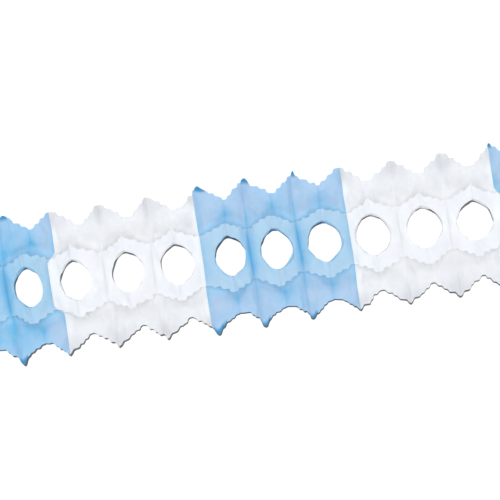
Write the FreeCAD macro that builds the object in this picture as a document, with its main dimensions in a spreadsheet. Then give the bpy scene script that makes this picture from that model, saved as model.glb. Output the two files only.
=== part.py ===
"""Tissue paper garland: die-cut tissue sheets, glued face to face and pulled open into cells.

Every sheet is the same flat cut. Its back half is a tall band and its front half is a low ring,
both with a stepped outline. A strip along its middle is glued to the sheet on one side, and strips
along its front and back edges are glued to the sheet on the other side. Pulled open, the glued
strips stay square to the garland's run and the panels between them slope, so that each pair of
sheets makes one diamond cell. Half a hole in each edge makes a round hole through the cell.

X runs along the garland, Y across it, and +Z from its back edges to its front edges. It lies on
its back edges, with the origin below its middle.
"""
import os

import FreeCAD
import Part
import Sketcher

SIZES = {  # millimetres, degrees and shares
    "paper": 0.25,  # a little more than real tissue, so that each sheet is a sound solid
    "panel_width": 31.2,  # from a glued strip's fold to the next, on the flat sheet
    "panel_slope": 29.0,  # of the panels from the garland's run: how far it is pulled open
    "seam_strip": 2.0,  # glued strip along the middle of a sheet
    "edge_strip": 2.0,  # glued strip along the front and the back edge
    "band_crest": 160.0,  # height of the band at the middle strip
    "band_foot": 124.0,  # and at the back edge
    "ring_crest": 79.0,  # height of the ring at the front edge
    "ring_foot": 56.0,  # and at the middle strip
    "upper_step": 0.39,  # share of the fall from crest to foot that comes before the upper step
    "lower_step": 0.78,  # and before the lower one
    "riser": 3.0,  # how far along the flat sheet the outline falls from a step to the next
    "hole": 47.0,  # diameter of the hole that two edges share
}
SECTIONS = (("blue", 2), ("white", 3), ("blue", 3), ("white", 3), ("blue", 1))  # cells of each
CELLS = sum(cells for _, cells in SECTIONS)

doc = FreeCAD.newDocument("Garland")
sizes = doc.addObject("Spreadsheet::Sheet", "Sizes")
for row, (alias, value) in enumerate(SIZES.items(), start=1):
    sizes.set(f"A{row}", alias)
    sizes.set(f"B{row}", str(value))
    sizes.setAlias(f"B{row}", alias)
doc.recompute()

# How the sheet's own lengths follow from those sizes. Distances along the flat sheet are counted
# from the middle of the seam strip.
REACH = "(Sizes.seam_strip / 2 + Sizes.panel_width + Sizes.edge_strip)"
STEP = f"({REACH} / 3.2)"  # width of a step: the crest has 3/4 of one on each side of its middle
MITRE = "(Sizes.paper / 2 * tan(45 - Sizes.panel_slope / 2))"
RUN = "(Sizes.panel_width * cos(Sizes.panel_slope))"
RISE = "(Sizes.panel_width * sin(Sizes.panel_slope))"
HALF_CELL = f"({RUN} + Sizes.paper)"
SEAM_HEIGHT = f"(Sizes.seam_strip / 2 + {RISE} + Sizes.edge_strip)"


def number(expression):
    """The value that an expression has now."""
    result = sizes.evalExpression(expression)
    return float(getattr(result, "Value", result))


def new_sketch(body, name, role):
    """A sketch on one of the body's own origin planes."""
    sketch = body.newObject("Sketcher::SketchObject", name)
    plane = next(p for p in body.Origin.OriginFeatures if p.Role == role)
    sketch.AttachmentSupport = [(plane, "")]
    sketch.MapMode = "FlatFace"
    return sketch


def bind(sketch, kind, *where, to):
    """A dimension whose value is an expression of the sizes."""
    index = sketch.addConstraint(Sketcher.Constraint(kind, *where, number(to)))
    sketch.setExpression(f"Constraints[{index}]", to)


def draw_loop(sketch, corners):
    """A closed loop of straight edges through corners (x, y), both expressions."""
    points = [FreeCAD.Vector(number(x), number(y)) for x, y in corners]
    edges = [
        sketch.addGeometry(Part.LineSegment(here, there))
        for here, there in zip(points, points[1:] + points[:1])
    ]
    for edge, following in zip(edges, edges[1:] + edges[:1]):
        sketch.addConstraint(Sketcher.Constraint("Coincident", edge, 2, following, 1))
    for edge, (x, y) in zip(edges, corners):
        bind(sketch, "DistanceX", -1, 1, edge, 1, to=x)
        bind(sketch, "DistanceY", -1, 1, edge, 1, to=y)


def folded_strip(body):
    """The paper folded to its section, as wide as the tallest part of the sheet."""
    top, fold = f"({RISE} + Sizes.seam_strip / 2)", "Sizes.seam_strip / 2"
    inner = f"{HALF_CELL} - Sizes.paper"
    upper = [
        ("Sizes.paper", f"{fold} - {MITRE}"),
        (HALF_CELL, f"{top} - {MITRE}"),
        (HALF_CELL, f"{top} + Sizes.edge_strip"),
        (inner, f"{top} + Sizes.edge_strip"),
        (inner, f"{top} + {MITRE}"),
        ("0", f"{fold} + {MITRE}"),
    ]
    lower = [(x, f"-({z})") for x, z in reversed(upper)]
    section = new_sketch(body, "Section", "XZ_Plane")
    draw_loop(section, upper + lower)
    pad = body.newObject("PartDesign::Pad", "FoldedStrip")
    pad.Profile = section
    pad.SideType = "Symmetric"
    pad.setExpression("Length", "Sizes.band_crest")


def panel_sketch(body, name, side):
    """A sketch in the plane of the front panel (side 1) or the back one (side -1), one thickness
    behind it. Its x runs along the flat sheet from the panel's fold at the seam strip."""
    sketch = new_sketch(body, name, "XY_Plane")
    sketch.AttachmentOffset = FreeCAD.Placement(
        FreeCAD.Vector(), FreeCAD.Rotation(FreeCAD.Vector(0, -side, 0), number("Sizes.panel_slope"))
    )
    sketch.setExpression("AttachmentOffset.Rotation.Angle", "Sizes.panel_slope")
    along = "Sizes.paper / 2 + Sizes.paper * sin(Sizes.panel_slope)"
    across = "Sizes.seam_strip / 2 - Sizes.paper * cos(Sizes.panel_slope)"
    sketch.setExpression("AttachmentOffset.Base.x", along)
    sketch.setExpression("AttachmentOffset.Base.z", f"{side} * ({across})")
    return sketch


def cut(body, name, sketch, side):
    """Cuts a sketch out of its panel and of the edge strip beyond, and checks that it cut."""
    before = body.Shape.Volume
    pocket = body.newObject("PartDesign::Pocket", name)
    pocket.Profile = sketch
    pocket.Type = "ThroughAll"
    pocket.Reversed = side > 0
    doc.recompute()
    if not 0 < body.Shape.Volume < before - 1:
        raise RuntimeError(f"{name} cut nothing")
    return pocket


def trim_loop(part, crest_at_seam):
    """The loop outside one slope of a panel's outline, which falls in three steps from the crest to
    the foot, then round past the paper. The heights are from the middle of the sheet."""
    crest, foot = f"Sizes.{part}_crest / 2", f"Sizes.{part}_foot / 2"
    steps = [f"{crest} - ({crest} - {foot}) * Sizes.{step}" for step in ("upper_step", "lower_step")]
    heights = [crest, *steps, foot]
    end = "(Sizes.panel_width + Sizes.edge_strip)"
    outside = "(Sizes.band_crest / 2 + Sizes.riser)"
    slope = []
    for i, (high, low) in enumerate(zip(heights, heights[1:])):
        middle = f"{STEP} * {i + 0.75}"  # of a riser, from the middle of the crest
        slope += [(f"{middle} - Sizes.riser / 2", high), (f"{middle} + Sizes.riser / 2", low)]
    if crest_at_seam:
        slope = [(f"{x} - Sizes.seam_strip / 2", y) for x, y in slope]
        return [(slope[0][0], outside), *slope, (end, heights[-1]), (end, outside)]
    slope = [(f"{end} - ({x})", y) for x, y in reversed(slope)]
    return [("0", heights[-1]), *slope, (end, heights[0]), (end, outside), ("0", outside)]


def tissue_sheet():
    """The one flat cut that all sheets share, folded to its place beside the seam."""
    body = doc.addObject("PartDesign::Body", "TissueSheet")
    folded_strip(body)
    doc.recompute()
    trims = []
    outlines = {1: ("Front", "ring", False), -1: ("Back", "band", True)}
    for side, (name, part, crest_at_seam) in outlines.items():
        outline = panel_sketch(body, f"{name}Outline", side)
        draw_loop(outline, trim_loop(part, crest_at_seam))
        trims.append(cut(body, f"{name}Trim", outline, side))
        punch = panel_sketch(body, f"{name}Punch", side)
        centre = FreeCAD.Vector(number("Sizes.panel_width + Sizes.edge_strip"), 0)
        circle = punch.addGeometry(
            Part.Circle(centre, FreeCAD.Vector(0, 0, 1), number("Sizes.hole / 2"))
        )
        punch.addConstraint(Sketcher.Constraint("PointOnObject", circle, 3, -1))
        bind(punch, "DistanceX", -1, 1, circle, 3, to="Sizes.panel_width + Sizes.edge_strip")
        bind(punch, "Diameter", circle, to="Sizes.hole")
        cut(body, f"{name}Hole", punch, side)
    before = body.Shape.Volume
    other_end = body.newObject("PartDesign::Mirrored", "OtherEnd")
    other_end.Originals = trims
    middle = next(p for p in body.Origin.OriginFeatures if p.Role == "XZ_Plane")
    other_end.MirrorPlane = (middle, [""])
    body.Tip = other_end
    doc.recompute()
    if not 0 < body.Shape.Volume < before - 1:
        raise RuntimeError("the other end was not trimmed")
    return body


def place_sheet(cut_sheet, along, colour):
    """Sheet number along, counted from 0 at the -X end: the shared cut in its place. Even sheets
    open away from their seam along +X and odd ones along -X, so two sheets meet back to back at
    each seam, and front edge to front edge and back edge to back edge halfway between seams."""
    sheet = doc.addObject("PartDesign::Body", f"Sheet{along + 1:02d}")
    base = doc.addObject("PartDesign::FeatureBase", f"Cut{along + 1:02d}")
    base.BaseFeature = cut_sheet
    sheet.Group = [base]
    sheet.Tip = base
    sheet.Label = f"{colour}_sheet_{along + 1:02d}"
    turned = along % 2
    seams_from_middle = (along + turned - CELLS) / 2
    half_turns = FreeCAD.Rotation(FreeCAD.Vector(0, 0, 1), 180 * turned)
    sheet.Placement = FreeCAD.Placement(FreeCAD.Vector(), half_turns)
    sheet.setExpression("Placement.Base.x", f"{seams_from_middle} * 2 * {HALF_CELL}")
    sheet.setExpression("Placement.Base.z", SEAM_HEIGHT)
    return sheet


def check(objects, sheets):
    """Stops where an object of the document failed or a sheet isn't one sound solid."""
    for thing in objects:
        if any(word in ("Invalid", "Error") for word in thing.State):
            raise RuntimeError(f"{thing.Label} failed: {thing.State}")
    for sheet in sheets:
        shape = sheet.Shape
        if shape.isNull() or not shape.isValid() or len(shape.Solids) != 1:
            raise RuntimeError(f"{sheet.Label} is not one valid solid")


cut_sheet = tissue_sheet()
colours = [colour for colour, cells in SECTIONS for _ in range(2 * cells)]
sheets = [place_sheet(cut_sheet, along, colour) for along, colour in enumerate(colours)]
doc.recompute()
check(doc.Objects, sheets)

os.makedirs("parts", exist_ok=True)
for sheet in sheets:
    sheet.Shape.exportStep(f"parts/{sheet.Label}.step")
flat_area = cut_sheet.Shape.Volume / SIZES["paper"]
print(f"{len(sheets)} sheets of {flat_area:.0f} mm2, cells of {2 * number(HALF_CELL):.3f} mm")
print(f"seams {number(SEAM_HEIGHT):.3f} mm above the back edges")
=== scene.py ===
"""Tissue paper garland, laid on its back edges: 24 die-cut tissue sheets, glued face to face by
turns along their middles and along their front and back edges, and pulled open into twelve cells.

Every sheet starts as the same flat cut, apart from a little unevenness. Its front half is a low
ring with half a hole in its edge, and its back half is a tall band with a stepped outline. A
Geometry Nodes tree folds the flat cut to its place. Sizes and flat cuts are in millimetres, and MM
turns them into the metres of the scene.
"""
import math
import random

import bpy
from mathutils import Matrix, Vector


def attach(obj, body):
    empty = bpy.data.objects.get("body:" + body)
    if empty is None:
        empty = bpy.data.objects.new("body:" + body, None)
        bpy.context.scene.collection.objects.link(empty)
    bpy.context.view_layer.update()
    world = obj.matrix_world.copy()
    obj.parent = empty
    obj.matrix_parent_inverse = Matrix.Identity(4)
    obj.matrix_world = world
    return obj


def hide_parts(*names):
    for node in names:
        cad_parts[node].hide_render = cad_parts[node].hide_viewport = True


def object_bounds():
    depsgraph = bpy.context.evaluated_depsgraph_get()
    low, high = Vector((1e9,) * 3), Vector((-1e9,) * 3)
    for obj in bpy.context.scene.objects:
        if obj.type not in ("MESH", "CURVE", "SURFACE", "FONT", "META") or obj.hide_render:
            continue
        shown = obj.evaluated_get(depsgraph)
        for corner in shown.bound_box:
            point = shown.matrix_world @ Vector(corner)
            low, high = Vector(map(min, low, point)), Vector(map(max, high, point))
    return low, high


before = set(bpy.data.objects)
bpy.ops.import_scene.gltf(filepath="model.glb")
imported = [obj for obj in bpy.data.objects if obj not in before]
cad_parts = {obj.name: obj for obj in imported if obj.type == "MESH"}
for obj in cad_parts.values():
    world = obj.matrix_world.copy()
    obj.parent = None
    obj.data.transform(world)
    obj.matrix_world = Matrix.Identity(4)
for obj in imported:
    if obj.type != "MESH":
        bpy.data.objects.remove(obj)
cad_box = [list(corner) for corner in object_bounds()]

MM = 0.001

# ---- sizes of the paper and of the glue lines ------------------------------------------------
PAPER = 0.12  # tissue, thinner than the solid that stands for it
SEAM_STRIP, EDGE_STRIP, PANEL = 2.0, 2.0, 31.2  # widths on the flat sheet
SLOPE = math.radians(29)  # of the panels from the garland's run
REACH = SEAM_STRIP / 2 + PANEL + EDGE_STRIP  # from the middle of a sheet to its edge
HOLE = 23.5  # radius of the punch that takes half a hole out of each edge
RING_FOOT = 28.0  # half the height of the ring at its seams

# ---- where the cells are ---------------------------------------------------------------------
SECTIONS = (("blue", 2), ("white", 3), ("blue", 3), ("white", 3), ("blue", 1))  # cells of each
COLOURS = [colour for colour, cells in SECTIONS for _ in range(2 * cells)]
CELLS = len(COLOURS) // 2
NODES = [f"{colour}_sheet_{i + 1:02d}" for i, colour in enumerate(COLOURS)]
(LEFT, _, BOTTOM), (RIGHT, _, TOP) = cad_box
CELL = (RIGHT - LEFT) / CELLS / MM
SEAM_HEIGHT = (TOP + BOTTOM) / 2 / MM
RUN = CELL / 2 - PAPER
RISE = PANEL * math.sin(SLOPE)

# ---- how unevenly the garland is pulled open -------------------------------------------------
# How far along its run from its even place each seam, front edge and back edge lies, and how far
# the rings lean over the band at each seam.
SEAM_PULL = (3, 5, 6.3, 5, 3.9, 0.2, -0.4, -1.6, -0.3, -0.3, -0.3, -1.4, -1)
FRONT_PULL = (0, -1, -4.2, -0.7, -0.8, 3.4, -1, -0.8, -2.6, -2, 0.8, 0)
BACK_PULL = (5, 8.8, 6.6, 7, 4.7, 4.3, 2.4, 0.1, -1.1, -0.2, 0.7, 0)
RING_LEAN = (0, -2, -9.8, -3.6, -2.6, 0.5, -0.9, -0.4, 0, -0.7, -0.3, 6, 0)
# How much farther than its plain size each cell's hole reaches to the left and to the right.
HOLE_REACH = ((0, 0), (-0.6, -1.9), (-0.4, -3.5), (1, -0.3), (1.5, 0.8), (-4, 4), (-2.8, 1.5),
              (1, 0.4), (3.5, -0.2), (1.7, 2.5), (0.4, 0), (0, 0))
# How far the middle of the upper and the lower crest lies to the right of each seam.
UPPER_CREST = (0, 6, 2.6, 1.5, 2, 7, 2, 3, -1, 1, 1.5, 2, 0)
LOWER_CREST = (0, 6, -1, 1.5, 3, 7, 5, 4, 0, 0, 0, 0, 0)
# Blue paper that stands past the crest at some seams, where the sheets still cling together: how
# far it stands out, how far from the middle of the crest it lies, and how far it runs to each side.
UPPER_TIPS = {1: (4, 0, 3, 5), 5: (5, 0, 4, 8), 6: (4, 3, 4.5, 5), 7: (5, 2.5, 2.5, 3),
              11: (4, 0, 3, 3)}
LOWER_TIPS = {1: (3.5, 0, 4, 6), 5: (2.5, 0, 5, 10), 6: (1.6, 0, 5, 7), 7: (1, 0, 4, 7)}
NO_TIP = (0, 0, 1, 1)
DEEPER = {11: 0.05, 12: 0.05, 13: 0.2}  # tone of a few sheets, counted from 0 at the -X end

# ---- outlines --------------------------------------------------------------------------------
# Half the height at the crest and at the foot, how far the edge falls along each millimetre of
# tread, how far the crest stands up in a point, and where the steps are from the crest's middle.
OUTLINES = {
    "upper ring": (37.6, RING_FOOT, 0.01, 0.0, (8, 16.5, 26)),
    "lower ring": (39.4, RING_FOOT, 0.01, 0.0, (8, 16.5, 26)),
    "upper blue band": (79.0, 63.0, 0.1, 0.0, (9.5, 18, 26.5)),
    "lower blue band": (79.3, 63.0, 0.1, 1.6, (4, 8.5, 14.5, 20.5)),
    "upper white band": (79.0, 61.2, 0.1, 0.0, (7.5, 16, 24.5)),
    "lower white band": (79.3, 60.0, 0.1, 1.6, (4.5, 14.5, 20.5, 27.5)),
}
POINT_REACH = 5.0  # of a crest's point, to each side of the crest's middle
RISER, RISER_GROWTH = 1.6, 0.4  # run of a step's riser, and how much it grows with its drop
UNEVEN_CREST, UNEVEN_PLACE, UNEVEN_DROP = 0.6, 0.7, 0.25  # at most, and the last is a share
MEETING = 6.0  # from an edge inwards, where neighbours come together at the foot
RIDGE_SPIKE = (4.5, 5.04)  # height and reach, on a white ring's upper edge where it is glued
NO_SPIKE = (0, 1)
SPIKE_SHAPE, TIP_SHAPE = (1.4, 0.8), (1.3, 0.7)  # flatness of the top, and power of the flanks
# Half the width of a hole to the left and to the right, and its height above and below its middle.
# The punch went through a thick stack of sheets, and left a smaller hole in the back edges.
HALF_HOLES = {"front": ((23.0, 23.0), (24.6, 22.2)), "back": ((22.8, 22.2), (23.0, 21.8))}
HOLE_POWER = 1.65  # 2 would be an ellipse, and 1 a diamond


class Value:
    """A node's output that takes part in arithmetic: each operator adds a Math node."""

    def __init__(self, tree, socket):
        self.tree, self.socket = tree, socket

    def math(self, operation, *others):
        inputs = dict(enumerate((self, *others)))
        return self.tree.add("ShaderNodeMath", {"operation": operation}, inputs)

    def __add__(self, other):
        return self.math("ADD", other)

    def __radd__(self, other):
        return self.math("ADD", other)

    def __sub__(self, other):
        return self.math("SUBTRACT", other)

    def __rsub__(self, other):
        return self.tree.add("ShaderNodeMath", {"operation": "SUBTRACT"}, {0: other, 1: self})

    def __mul__(self, other):
        return self.math("MULTIPLY", other)

    def __rmul__(self, other):
        return self.math("MULTIPLY", other)

    def __truediv__(self, other):
        return self.math("DIVIDE", other)

    def __pow__(self, other):
        return self.math("POWER", other)

    def ramp(self, low, high, to_low=0.0, to_high=1.0):
        """Goes smoothly from to_low to to_high as this value goes from low to high."""
        places = {0: self, 1: low, 2: high, 3: to_low, 4: to_high}
        return self.tree.add("ShaderNodeMapRange", {"interpolation_type": "SMOOTHSTEP"}, places)


class Tree:
    """Adds nodes to a shader tree or a geometry tree."""

    def __init__(self, tree):
        self.tree = tree

    def add(self, kind, settings=None, inputs=None, output=0):
        """A node of that type: its settings first, then the values or links of its sockets."""
        node = self.tree.nodes.new(kind)
        for name, value in (settings or {}).items():
            setattr(node, name, value)
        for key, value in (inputs or {}).items():
            if isinstance(value, Value):
                self.tree.links.new(value.socket, node.inputs[key])
            else:
                node.inputs[key].default_value = value
        return Value(self, node.outputs[output])

    def vector(self, x, y, z):
        return self.add("ShaderNodeCombineXYZ", None, {0: x, 1: y, 2: z})

    def parts(self, vector):
        node = self.add("ShaderNodeSeparateXYZ", None, {0: vector}).socket.node
        return [Value(self, out) for out in node.outputs]

    def vector_math(self, operation, *inputs):
        return self.add("ShaderNodeVectorMath", {"operation": operation}, dict(enumerate(inputs)))

    def scaled(self, vector, factor):
        inputs = {0: vector, "Scale": factor}
        return self.add("ShaderNodeVectorMath", {"operation": "SCALE"}, inputs)

    def noise(self, vector, scale, seed, detail, rough, output="Fac"):
        inputs = {"Vector": vector, "W": seed, "Scale": scale, "Detail": detail}
        inputs["Roughness"] = rough
        return self.add("ShaderNodeTexNoise", {"noise_dimensions": "4D"}, inputs, output)

    def sway(self, vector, scale, seed):
        """Slow waves along all three axes, each about as much below 0 as above it."""
        waves = self.noise(vector, scale, seed, detail=1.0, rough=0.4, output="Color")
        return self.vector_math("SUBTRACT", waves, (0.5, 0.5, 0.5))

    def mix(self, factor, a, b):
        """Colour b over a. The Mix node's sockets for colours are inputs 6 and 7 and output 2."""
        settings = {"data_type": "RGBA", "clamp_factor": True}
        return self.add("ShaderNodeMix", settings, {0: factor, 6: a, 7: b}, output=2)


# ---- the flat cut ----------------------------------------------------------------------------
def clamp(value):
    return min(max(value, 0.0), 1.0)


def stairs(d, crest, steps, fall, point):
    """Height of the cut edge d along the sheet from the middle of its crest. It falls at each step,
    given as (place, drop), by fall along each tread, and by point on either side of the crest. The
    risers of a pointed outline are a little longer."""
    height = crest - fall * d - point * clamp(d / POINT_REACH)
    for place, drop in steps:
        t = clamp((d - place) / (RISER + point / 2 + RISER_GROWTH * drop) + 0.5)
        height -= drop * t * t * (3 - 2 * t)
    return height


def nose(distance, reach, flatness, power):
    """A rounded nose: 1 over the flat of its top, and 0 from its reach on."""
    return clamp(flatness * (1 - distance / reach)) ** power


def cut_lines(number, front, upper):
    """The outline of a quarter of a sheet: a function from the distance a from the seam to the
    height of the cut edge, and to how far it stands past its plain outline there."""
    side = 1 if number % 2 == 0 else -1  # of the seam on which the sheet lies, +X or -X
    blue = COLOURS[number] == "blue"
    seam, cell = (number + 1) // 2, number // 2
    chance = random.Random(100 * number + 10 * front + upper)
    shared = random.Random((cell if front else seam) + 50 * front + 500 * upper)
    part = "ring" if front else f"{COLOURS[number]} band"
    crest, foot, fall, point, places = OUTLINES[f"{'upper' if upper else 'lower'} {part}"]
    crest += shared.uniform(-UNEVEN_CREST, UNEVEN_CREST)
    # Uneven steps at uneven places, which together come down to the foot.
    drops = [chance.uniform(1 - UNEVEN_DROP, 1 + UNEVEN_DROP) for _ in places]
    scale = (crest - foot - point - fall * REACH) / sum(drops)
    steps = [(place + chance.uniform(-UNEVEN_PLACE, UNEVEN_PLACE), drop * scale)
             for place, drop in zip(places, drops)]
    spike, spike_reach = NO_SPIKE if blue or not upper else RIDGE_SPIKE
    middle = (UPPER_CREST if upper else LOWER_CREST)[seam]
    tips = (UPPER_TIPS if upper else LOWER_TIPS) if blue else {}
    proud, beyond, before, after = tips.get(seam, NO_TIP)

    def ring_edge(a):
        d = REACH - a
        return stairs(d, crest, steps, fall, point) + spike * nose(d, spike_reach, *SPIKE_SHAPE), 0

    def band_edge(a):
        run = side * a - middle
        from_tip = run - beyond
        tip = proud * nose(abs(from_tip), after if from_tip > 0 else before, *TIP_SHAPE)
        free = clamp((REACH - a) / MEETING)
        return foot + (stairs(abs(run), crest, steps, fall, point) - foot) * free + tip, tip

    return ring_edge if front else band_edge


def half_hole(number, front, upper):
    """Half the width of the punched hole and its height, above or below its middle."""
    widths, heights = HALF_HOLES["front" if front else "back"]
    right = number % 2
    return widths[right] + HOLE_REACH[number // 2][right], heights[not upper]


def hole_edge(a, width, height):
    """Height of the edge of half a hole at a distance a from the seam."""
    d = (REACH - a) / width
    return height * math.sqrt(1 - d ** HOLE_POWER) if d < 1 else 0.0


def columns(apex):
    """Distances from the seam of the flat mesh's columns, closest together at the apex, where the
    hole begins. Each stretch is given by its start and by how many columns it has."""
    stretches = [(0, 2), (SEAM_STRIP / 2, 13), (apex, 10), (apex + 7, 16), (REACH - EDGE_STRIP, 3)]
    ends = [start for start, _ in stretches[1:]] + [REACH]
    places = []
    for (start, count), end in zip(stretches, ends):
        for i in range(count):
            t = i / count
            places.append(start + (end - start) * (t * t if start == apex else t))
    return places + [REACH]


RING_ROWS, BAND_ROWS = 20, 40
BEHIND_RING = 8.0  # how much farther out the ring's rows end at the band's edge than at its seam
CROWDING = 1.15  # of the band's rows toward its outline
CLING_DEPTH = {True: 3.0, False: 4.0}  # how far below an upper and a lower crest it starts
CLING_FADE = 4.0  # from there to where the sheets cling fully
LEAST_TIP = 0.3  # sheets with less paper past the crest don't cling there


def flat_cut(number):
    """The flat cut as a mesh in its own plane: x is the distance from the seam, the front half
    positive, and y the distance from the middle of the garland. Its attribute "cling" says where
    the paper still clings to its neighbour past the crest, "matched" whether the sheet glued to its
    seam has its colour, and "deeper" how much deeper its tone is."""
    verts, faces, cling, index = [], [], [], {}
    seam = (number + 1) // 2
    matched = COLOURS[max(2 * seam - 1, 0)] == COLOURS[min(2 * seam, 2 * CELLS - 1)]

    def corner(x, y, clings):
        """The vertex there, shared by the quarters that meet in it."""
        key = (round(x, 4), round(y, 4))
        if key not in index:
            index[key] = len(verts)
            verts.append((x * MM, y * MM, 0))
            cling.append(clings)
        return index[key]

    for front in (True, False):
        places = columns(REACH - half_hole(number, front, True)[0])
        for upper in (True, False):
            edge = cut_lines(number, front, upper)
            width, height = half_hole(number, front, upper)
            grid = []
            for a in places:
                low, (high, tip) = hole_edge(a, width, height), edge(a)
                split = high if front else RING_FOOT + BEHIND_RING * a / REACH
                ys = [low + (split - low) * i / RING_ROWS for i in range(RING_ROWS)]
                if not front:
                    ys += [split + (high - split) * (1 - (1 - i / BAND_ROWS) ** CROWDING)
                           for i in range(BAND_ROWS)]
                ys.append(high)
                start = high - tip - CLING_DEPTH[upper]
                clings = [clamp((y - start) / CLING_FADE) if tip > LEAST_TIP else 0.0 for y in ys]
                grid.append([corner(a if front else -a, y if upper else -y, c)
                             for y, c in zip(ys, clings)])
            for one, two in zip(grid, grid[1:]):
                for i in range(len(one) - 1):
                    face = [one[i], two[i], two[i + 1], one[i + 1]]
                    face = [v for n, v in enumerate(face) if v not in face[:n]]
                    if len(face) > 2:
                        faces.append(face if front == upper else face[::-1])
    mesh = bpy.data.meshes.new("flat_cut")
    mesh.from_pydata(verts, [], faces)
    attributes = {"cling": cling, "matched": [float(matched)] * len(verts),
                  "deeper": [float(DEEPER.get(number, 0))] * len(verts)}
    for name, values in attributes.items():
        mesh.attributes.new(name, "FLOAT", "POINT").data.foreach_set("value", values)
    mesh.validate()
    return mesh


# ---- folding ---------------------------------------------------------------------------------
INPUTS = {  # of the folding tree, in metres
    "Side": 1.0, "Seam X": 0.0, "Seam Height": SEAM_HEIGHT * MM, "Seam Strip": SEAM_STRIP * MM,
    "Panel": PANEL * MM, "Run": RUN * MM, "Rise": RISE * MM, "Gap": PAPER / 2 * MM,
    "Seam Pull": 0.0, "Front Pull": 0.0, "Back Pull": 0.0, "Ring Lean": 0.0,
    "Ring Foot": RING_FOOT * MM, "Hole": HOLE * MM, "Curl": 14 * MM, "Bow": 0.022,
    "Crumple": 1.0, "Seed": 0.0,
}
SOFT_FOLD = 0.004  # share of a panel in which it bends over into its slope
BELLY = 0.014  # how far a panel sags and bulges, as a share of its rise
FLATTENED = 0.8  # share of the seam strip's height that the band loses past the ring
EDGE_STANDS = 0.2  # share of its height that the glued strip keeps along the front edges
CREST_CURL = 0.7  # share of the valleys' curl that the crests have
WRINKLE, CREASE, WANDER = 0.0065, 0.0016, (0.004, 0.004, 0.0015)  # how far each goes, in metres


def folding_tree():
    """Folds a flat cut at its glued strips, pulls it open and crumples it a little."""
    group = bpy.data.node_groups.new("FoldTissueSheet", "GeometryNodeTree")
    face = group.interface
    face.new_socket("Flat Cut", in_out="INPUT", socket_type="NodeSocketGeometry")
    for name, value in INPUTS.items():
        socket = face.new_socket(name, in_out="INPUT", socket_type="NodeSocketFloat")
        socket.default_value = value
    face.new_socket("Tissue", in_out="INPUT", socket_type="NodeSocketMaterial")
    face.new_socket("Sheet", in_out="OUTPUT", socket_type="NodeSocketGeometry")
    g = Tree(group)
    source = group.nodes.new("NodeGroupInput")
    given = {s.name: Value(g, s) for s in source.outputs if s.name}

    flat = g.add("GeometryNodeInputPosition")
    s, along, _ = g.parts(flat)
    a = s.math("ABSOLUTE")
    apart = along.math("ABSOLUTE")
    front = s.math("SIGN")
    behind = 1 - s.ramp(given["Seam Strip"] / -2, 0)
    in_band = front.ramp(-0.1, 0.1, 1, 0)
    half_strip = given["Seam Strip"] / 2
    u = ((a - half_strip) / given["Panel"]).math("MAXIMUM", 0.0).math("MINIMUM", 1.0)
    # The panel leaves each glued strip in line with it and bends over into its slope.
    ease = (u + SOFT_FOLD * ((u * (-1 / SOFT_FOLD)).math("EXPONENT") - 1)
            + SOFT_FOLD * (math.exp(-1 / SOFT_FOLD)
                           - ((1 - u) * (-1 / SOFT_FOLD)).math("EXPONENT")))
    across = given["Run"] * (ease / (1 - 2 * SOFT_FOLD))
    belly = (u * (2 * math.pi)).math("SINE") * BELLY
    beyond_ring = in_band * apart.ramp(given["Ring Foot"], given["Ring Foot"] * 1.4)
    strip_rise = a.math("MINIMUM", half_strip) * (1 - beyond_ring * FLATTENED)
    past_panel = (a - half_strip - given["Panel"]).math("MAXIMUM", 0.0)
    edge_rise = past_panel * front.ramp(-0.1, 0.1, 1, EDGE_STANDS)
    lift = strip_rise + given["Rise"] * (u + belly) + edge_rise
    # Pulled unevenly, and leaning over the band at the rings' seams.
    past_hole = behind * apart.ramp(given["Hole"], given["Hole"] * 2)
    edge_pull = given["Front Pull"] + (given["Back Pull"] - given["Front Pull"]) * past_hole
    pull = given["Seam Pull"] * (1 - u) + edge_pull * u
    inside = apart.ramp(given["Ring Foot"] * 0.82, given["Ring Foot"] * 1.25, 1, 0)
    lean = given["Ring Lean"] * inside * ((1 - u) ** 1.5)
    x = given["Seam X"] + given["Side"] * (across + given["Gap"]) + pull + lean
    # The band's ends curl up off the table, most along the back edges.
    valley_end = u * u * apart.ramp(given["Hole"] * 1.5, given["Hole"] * 2.5)
    crest_end = (1 - u * u) * apart.ramp(given["Hole"] * 2.1, given["Hole"] * 3.5)
    curl = given["Curl"] * behind * (valley_end + crest_end * CREST_CURL)
    z = given["Seam Height"] + front * lift + curl
    placed = g.vector(x, along - given["Bow"] * x * x, z)

    # Free paper wrinkles. At the glue it stays flat, so that neighbours keep to each other.
    free = (u * (1 - u) * 4).ramp(0.05, 0.8)
    waves = g.sway(flat, scale=55.0, seed=given["Seed"])
    bend = g.scaled(waves, free * given["Crumple"] * WRINKLE)
    creases = g.noise(flat, scale=190.0, seed=given["Seed"] + 7, detail=2.0, rough=0.5)
    creases = (creases - 0.5).math("ABSOLUTE") * -1
    up = g.vector(0.0, 0.0, creases * free * given["Crumple"] * CREASE)
    # The whole garland wanders a little, and neighbours with it.
    wander = g.vector_math("MULTIPLY", g.sway(placed, scale=14.0, seed=3.0), WANDER)
    offset = g.vector_math("ADD", g.vector_math("ADD", bend, up), wander)

    kept = g.add("GeometryNodeStoreNamedAttribute",
                 {"data_type": "FLOAT_VECTOR", "domain": "POINT"},
                 {0: given["Flat Cut"], "Name": "flat_cut", "Value": flat})
    place = g.vector_math("ADD", placed, offset)
    moved = g.add("GeometryNodeSetPosition", None, {0: kept, "Position": place})
    real = g.add("GeometryNodeRealizeInstances", None, {0: moved})
    done = g.add("GeometryNodeSetMaterial", None, {0: real, "Material": given["Tissue"]})
    sink = group.nodes.new("NodeGroupOutput")
    group.links.new(done.socket, sink.inputs[0])
    return group


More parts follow.
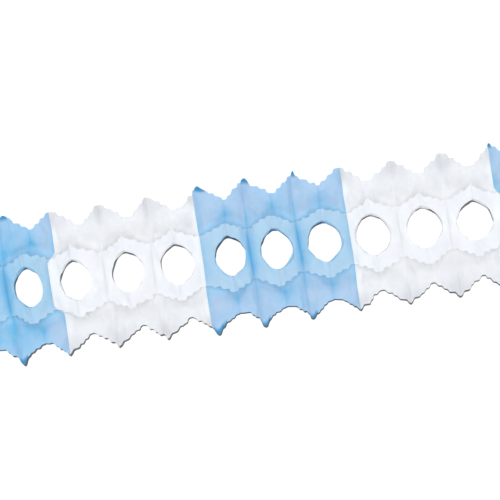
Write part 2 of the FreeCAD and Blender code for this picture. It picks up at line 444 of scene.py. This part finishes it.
def fold_sheet(number, tree, tissues):
    """Sheet number, counted from 0 at the -X end, folded and made a plain thin solid mesh."""
    turned = number % 2
    seam = (number + turned) // 2
    blank = bpy.data.objects.new("blank", flat_cut(number))
    bpy.context.scene.collection.objects.link(blank)
    fold = blank.modifiers.new("Fold", "NODES")
    fold.node_group = tree
    values = {
        "Side": -1.0 if turned else 1.0, "Seam X": (seam - CELLS / 2) * CELL * MM,
        "Seam Pull": SEAM_PULL[seam] * MM, "Front Pull": FRONT_PULL[number // 2] * MM,
        "Back Pull": BACK_PULL[number // 2] * MM, "Ring Lean": RING_LEAN[seam] * MM,
        "Seed": float(number), "Tissue": tissues[COLOURS[number]],
    }
    for item in tree.interface.items_tree:
        if item.name in values:
            fold[item.identifier] = values[item.name]
    thick = blank.modifiers.new("Paper", "SOLIDIFY")
    thick.thickness, thick.offset, thick.use_even_offset = PAPER * MM, 0.0, False
    evaluated = blank.evaluated_get(bpy.context.evaluated_depsgraph_get())
    mesh = bpy.data.meshes.new_from_object(evaluated)
    bpy.data.meshes.remove(blank.data)
    mesh.name = f"tissue_{NODES[number]}"
    mesh.shade_smooth()
    mesh.set_sharp_from_angle(angle=math.radians(50))
    sheet = bpy.data.objects.new(mesh.name, mesh)
    bpy.context.scene.collection.objects.link(sheet)
    return sheet


# ---- materials -------------------------------------------------------------------------------
LOOKS = {
    "blue": {
        # The tones: of smooth paper; in its grooves, a painted shade; of the band beside the ring,
        # a painted light that lifts the ring's shadow; in the middle of the rings' seams, a painted
        # shade in the groove between the rings, partly the doubled paper's deeper tone at the glue;
        # of the ring, painted lighter than the band, as light falls more fully on it; of the band's
        # rim, a painted shade; and where sheets cling together.
        "light": (0.600, 0.722, 0.862), "deep": (0.24, 0.645, 0.875),
        "painted_light_by_ring": (0.54, 0.82, 0.99), "core": (0.165, 0.457, 0.70),
        "ring": (0.535, 0.732, 0.80), "painted_rim_shade": (0.475, 0.65, 0.81), "dense": (0.09, 0.37, 0.60),
        # How much the tone goes to its grooves' tone, as painted shade, all over the ring, all over
        # the band, along the band's seams beside the ring, all along them, along its valleys, in
        # the narrow middle of its valleys, where the ring's shadow falls, and at a seam where the
        # colour changes.
        "ring_depth": 0.08, "band_depth": 0.1, "by_ring_depth": 0.55, "by_seam_depth": 0.3,
        "by_edge_depth": 0.3, "valley_depth": 0.6, "change_depth": 0.1,
        # How strong the grooves' tone and the painted light beside the ring are, and how much light
        # comes through.
        "strength": 0.9, "painted_light_share": 0.8, "through": 0.55,
    },
    "white": {  # white paper's grooves' tone is whiter: painted light that lifts the shade in its grooves
        "light": (0.850, 0.862, 0.888), "deep": (0.975, 0.98, 0.985),
        "painted_light_by_ring": (0.985, 0.988, 0.992), "core": (0.745, 0.757, 0.78),
        "ring": (0.865, 0.877, 0.893), "painted_rim_shade": (0.735, 0.752, 0.775), "dense": (0.89, 0.90, 0.92),
        "ring_depth": 0.17, "band_depth": 0.38, "by_ring_depth": 0.0, "by_seam_depth": 0.3,
        "by_edge_depth": 0.15, "valley_depth": 0.0, "change_depth": 1.5,
        "strength": 1.0, "painted_light_share": 0.95, "through": 0.6,
    },
}
# The same for both tissues: how deep the streak along the rings' seams is, a painted shade that is
# partly the doubled paper's deeper tone, how much less deep the ring's front edges, a painted light
# against the glued strips' shadow, how much deeper the valleys beside the ring, a painted shade
# where the ring's shadow falls, how deep the left end is, and how much deeper the band there.
STREAK_DEPTH, PAINTED_LIGHT_AT_RIDGE, VALLEY_BY_RING, LEFT_DEPTH, LEFT_BAND = 1.15, 0.3, 0.35, 0.33, 0.2
RING_SLOPE = 0.34  # of the ring's outline, from its foot at the seam to its crest
CORE_SHARE, RING_SHARE, RIM_SHARE = 0.6, 0.5, 0.65  # of those tones, where they are strongest
CLOUDS, MOTTLES, FIBRES = 0.6, 0.3, 0.15  # how much the tone varies with each


def near(distance, width, power=1.0):
    """A mask that is 1 where a distance in metres is 0 and fades over a width in millimetres."""
    return ((distance * (1 / (width * MM))).math("MAXIMUM", 0.0) ** power * -1).math("EXPONENT")


def tissue(colour):
    """Tissue paper: thin, matt and let through by light. Its tone deepens at the left end and in a
    few sheets, and is set apart where it clings to its neighbour. Painted shade deepens it in its
    grooves, along the ring's seams, where it is partly the doubled paper's tone, beside the ring,
    along the band's valleys and at its rim. Painted light lifts it beside the ring and along the
    ring's front edges, makes the ring lighter than the band and white paper whiter in its grooves,
    and a painted highlight runs on white paper where its colour changes."""
    look = LOOKS[colour]
    tone = {name: (*value, 1) for name, value in look.items() if isinstance(value, tuple)}
    material = bpy.data.materials.new(f"{colour}_tissue")
    material.use_nodes = True
    nodes = material.node_tree
    nodes.nodes.clear()
    m = Tree(nodes)

    def attribute(name, output="Fac"):
        return m.add("ShaderNodeAttribute", {"attribute_name": name}, output=output)

    # Where on the flat cut: in the ring or behind it, how far from the seam and from the edge, and
    # how far apart from the middle of the garland.
    place = m.add("ShaderNodeTexCoord", output="Object")
    flat = attribute("flat_cut", "Vector")
    matched, deeper = attribute("matched"), attribute("deeper")
    s, along, _ = m.parts(flat)
    front = s.ramp(-0.5 * MM, 0.5 * MM)
    behind = 1 - front
    from_seam = s.math("ABSOLUTE")
    from_edge = REACH * MM - from_seam
    apart = along.math("ABSOLUTE")
    by_ring = apart.ramp(57 * MM, 40 * MM)
    past_ring = apart - from_seam * RING_SLOPE - RING_FOOT * MM
    # Painted light on the band just beside the ring, where the ring's shadow falls.
    beside_ring = behind * past_ring.ramp(10 * MM, 2 * MM) * from_seam.ramp(0, 14 * MM, 0.3, 1)
    left_end = m.parts(place)[0].ramp(-260 * MM, -218 * MM, 1, 0)
    # Painted shade in the groove between the rings along their seams, partly the doubled paper's
    # deeper tone at the glue; less where the colour changes.
    streak = front * near(from_seam, 6, 1.3) * apart.ramp(12 * MM, 30 * MM, 1, 0.5)
    streak = streak * (matched * 0.7 + 0.3)

    # How much of the grooves' tone: painted shade, on white paper painted light against the shade,
    # together with the tone of the left end and of a few sheets.
    painted_light_shade_and_tone = streak * STREAK_DEPTH + front * look["ring_depth"]
    # Painted light along the ring's front edges, against the shadow of the glued strips standing
    # there.
    painted_light_shade_and_tone = painted_light_shade_and_tone - front * near(from_edge, 1.5) * PAINTED_LIGHT_AT_RIDGE
    # The ring deeper by its hole and lighter toward its outline.
    painted_light_shade_and_tone = painted_light_shade_and_tone + front * apart.ramp(10 * MM, 34 * MM, 0.12, -0.1)
    # Where the colour changes at a seam: a painted highlight along the fold on white paper, and a
    # little painted shade on blue.
    painted_light_shade_and_tone = painted_light_shade_and_tone + (1 - matched) * near(from_seam, 4.5) * look["change_depth"]
    # Painted shade along the band's seams, deeper beside the ring; on white paper painted light.
    seam_depth = by_ring * look["by_ring_depth"] + look["by_seam_depth"]
    painted_light_shade_and_tone = painted_light_shade_and_tone + behind * near(from_seam, 3.5) * seam_depth
    # Painted shade along the band's valleys, deeper where the ring's shadow falls beside it.
    edge_depth = by_ring * VALLEY_BY_RING + look["by_edge_depth"]
    painted_light_shade_and_tone = painted_light_shade_and_tone + behind * near(from_edge, 8, 1.2) * edge_depth
    valley_line = near(from_edge, 3) * apart.ramp(66 * MM, 44 * MM)
    painted_light_shade_and_tone = painted_light_shade_and_tone + behind * valley_line * look["valley_depth"]
    # Painted shade over the whole band, painted light on white paper, and a few sheets' deeper
    # tone.
    painted_light_shade_and_tone = painted_light_shade_and_tone + behind * (deeper + look["band_depth"])
    painted_light_shade_and_tone = painted_light_shade_and_tone + left_end * (behind * LEFT_BAND + LEFT_DEPTH)

    cloud = m.noise(place, scale=70.0, seed=1.0, detail=3.0, rough=0.55)
    along_fibres = m.vector_math("MULTIPLY", flat, (900.0, 260.0, 900.0))
    fibres = m.noise(along_fibres, scale=1.0, seed=0.0, detail=3.0, rough=0.6)
    mottles = m.noise(place, scale=230.0, seed=4.0, detail=2.0, rough=0.5)
    patchy = cloud * 0.9 + 0.55  # about 1
    shade = painted_light_shade_and_tone * patchy + (cloud - 0.5) * CLOUDS + (mottles - 0.5) * MOTTLES
    shade = shade + (fibres - 0.5) * FIBRES
    paint = m.mix(shade * look["strength"], tone["light"], tone["deep"])
    # Painted light that lifts the ring's shadow on the band.
    paint = m.mix(beside_ring * look["painted_light_share"], paint, tone["painted_light_by_ring"])
    # Painted shade, partly doubled paper, in the middle of the rings' seams.
    paint = m.mix(streak * CORE_SHARE, paint, tone["core"])
    # Painted light: the ring gets a tone of its own, lighter than the band, as light falls more
    # fully on it.
    paint = m.mix(front * (1 - streak) * RING_SHARE, paint, tone["ring"])
    # Painted shade toward the band's rim, darker toward its ends.
    paint = m.mix(apart.ramp(50 * MM, 74 * MM) * RIM_SHARE, paint, tone["painted_rim_shade"])
    paint = m.mix(attribute("cling"), paint, tone["dense"])

    bumps = m.noise(place, scale=420.0, seed=2.0, detail=4.0, rough=0.6)
    bump = m.add("ShaderNodeBump", None, {"Strength": 0.2, "Distance": 0.0006, "Height": bumps})
    paper = m.add("ShaderNodeBsdfPrincipled", None, {
        "Base Color": paint, "Roughness": 0.8, "IOR": 1.3, "Specular IOR Level": 0.15,
        "Normal": bump})
    passed = m.add("ShaderNodeBsdfTranslucent", None, {"Color": paint, "Normal": bump})
    mixed = m.add("ShaderNodeMixShader", None, {0: look["through"], 1: paper, 2: passed})
    out = nodes.nodes.new("ShaderNodeOutputMaterial")
    nodes.links.new(mixed.socket, out.inputs["Surface"])
    return material


tissues = {colour: tissue(colour) for colour in LOOKS}
tree = folding_tree()
sheets = [fold_sheet(i, tree, tissues) for i in range(2 * CELLS)]
bpy.data.node_groups.remove(tree)

for sheet, node, colour in zip(sheets, NODES, COLOURS):
    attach(sheet, "root")
    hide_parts(node)


# ---- floor, light and camera -----------------------------------------------------------------
FLOOR_HALF, FLOOR_DROP = 30.0, 0.0006  # metres, the drop clear of the sheets' back edges


def pale_floor():
    material = bpy.data.materials.new("pale_floor")
    material.use_nodes = True
    surface = material.node_tree.nodes["Principled BSDF"]
    surface.inputs["Base Color"].default_value = (0.205, 0.205, 0.205, 1)
    surface.inputs["Roughness"].default_value = 0.9
    corners = [(x * FLOOR_HALF, y * FLOOR_HALF, 0) for x, y in ((-1, -1), (1, -1), (1, 1), (-1, 1))]
    mesh = bpy.data.meshes.new("floor")
    mesh.from_pydata(corners, [], [(0, 1, 2, 3)])
    mesh.materials.append(material)
    floor = bpy.data.objects.new("floor", mesh)
    floor.location.z = -FLOOR_DROP
    bpy.context.scene.collection.objects.link(floor)
    return floor


def sun(name, strength, spread, direction, lit):
    """A distant lamp, spread out by that many degrees, that falls on those objects."""
    lamp = bpy.data.lights.new(name, "SUN")
    lamp.energy, lamp.angle = strength, math.radians(spread)
    holder = bpy.data.objects.new(name, lamp)
    holder.rotation_euler = direction.to_track_quat("-Z", "Y").to_euler()
    bpy.context.scene.collection.objects.link(holder)
    group = bpy.data.collections.new(f"lit_by_{name}")
    for thing in lit:
        group.objects.link(thing)
    holder.light_linking.receiver_collection = group


def light_studio(turn, floor):
    """A white surround, a wide soft box over the sheets, and a sharp lamp that lights only the
    floor. Both stand a little above and to the left as the camera sees them, so that a thin line of
    shadow shows below the lower edge and inside the upper left of each hole."""
    world = bpy.data.worlds.new("studio")
    world.use_nodes = True
    background = world.node_tree.nodes["Background"]
    background.inputs["Color"].default_value = (0.97, 0.98, 1.0, 1)
    background.inputs["Strength"].default_value = 0.778
    bpy.context.scene.world = world
    sun("soft_box", 2.7, 50, turn @ Vector((0.02, -0.015, -1.0)), sheets)
    sun("floor_lamp", 13.6, 0.3, turn @ Vector((0.036, -0.092, -1.0)), [floor])


def aim_camera():
    """Above the garland, looking down on its front edges, with the garland rising to the right."""
    rise, tilt = math.radians(8.55), math.radians(0.2)
    turn = Matrix.Rotation(-rise, 3, "Z") @ Matrix.Rotation(tilt, 3, "X").inverted()
    data = bpy.data.cameras.new("camera")
    data.lens, data.sensor_width, data.clip_end = 400, 36, 100
    target, width = Vector((-0.0013, 0.0040, 0.018)), 0.550  # metres across the view there
    away = width * data.lens / data.sensor_width
    camera = bpy.data.objects.new("camera", data)
    camera.location = target + turn @ Vector((0, 0, away))
    camera.rotation_euler = turn.to_euler()
    bpy.context.scene.collection.objects.link(camera)
    bpy.context.scene.camera = camera
    return turn


bpy.context.scene.view_settings.view_transform = "Standard"
light_studio(aim_camera(), pale_floor())
